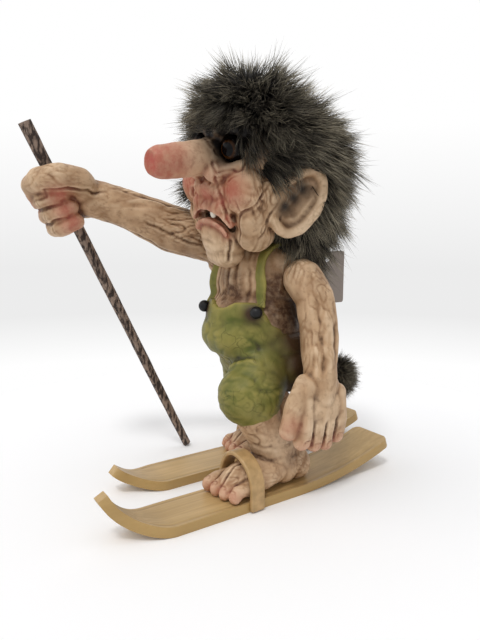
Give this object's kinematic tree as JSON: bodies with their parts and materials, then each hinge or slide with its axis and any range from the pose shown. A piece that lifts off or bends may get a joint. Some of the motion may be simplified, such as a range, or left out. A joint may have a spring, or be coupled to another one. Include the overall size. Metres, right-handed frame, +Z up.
{
  "type": "troll figure on skis",
  "caption": "Folk-tale troll figure with a long nose and fur wig, standing on skis in painted dungarees, one arm hanging and one fist round a twig ski pole that slides in it.",
  "frame": {"origin": "middle of the footprint's bounding box, on the surface that the skis stand on", "axes": "+Z up, -Y the way the figure faces and its ski tips point, +X towards the figure's left hand"},
  "size_m": [0.1256, 0.196, 0.2224],
  "materials": {
    "skin": "matte painted cast latex, tan with brown wash in the creases and rosy tips",
    "cloth": "matte painted cast latex, moss green with fine cracks",
    "ski": "satin tan stain",
    "strap": "plain tan leather",
    "fur": "long-pile fur, dark roots and olive-beige tips",
    "eye_glass": "clear polished glass",
    "iris": "amber paint with a black pupil",
    "button": "polished black",
    "tooth": "ivory",
    "twig": "bark with dark cut ends",
    "peg": "plain beech",
    "filling": "stiff foam",
    "steel": "zinc plated",
    "card": "matte card"
  },
  "bodies": {
    "figure": {"trunk": "skin", "head": "skin", "ear_left": "skin", "ear_right": "skin", "arm_left": "skin", "arm_right": "skin", "leg_left": "skin", "leg_right": "skin", "tail": "skin", "trousers": "cloth", "brace_left": "cloth", "brace_right": "cloth", "ski_left": "ski", "ski_right": "ski", "binding_strap_left": "strap", "binding_strap_right": "strap", "wig": "fur", "tail_tuft": "fur", "eye_left": "eye_glass", "eye_right": "eye_glass", "iris_left": "iris", "iris_right": "iris", "bib_button_left": "button", "bib_button_right": "button", "tooth": "tooth", "neck_peg": "peg", "shoulder_pegs": "peg", "head_filling": "filling", "trunk_filling": "filling", "foot_screws": "steel", "tag_loop": "steel"},
    "pole": {"pole": "twig"},
    "swing_tag": {"swing_tag": "card"}
  },
  "joints": [
    {"name": "pole_slide", "type": "slide", "parent": "figure", "child": "pole", "axis": [0, -0.4274, 0.9041], "range_m": [0, 0.12]},
    {"name": "tag_swing", "type": "hinge", "parent": "figure", "child": "swing_tag", "pos_m": [0.02478, 0.04495, 0.123], "axis": [1, 0, 0], "range_deg": [-3, 65]}
  ]
}
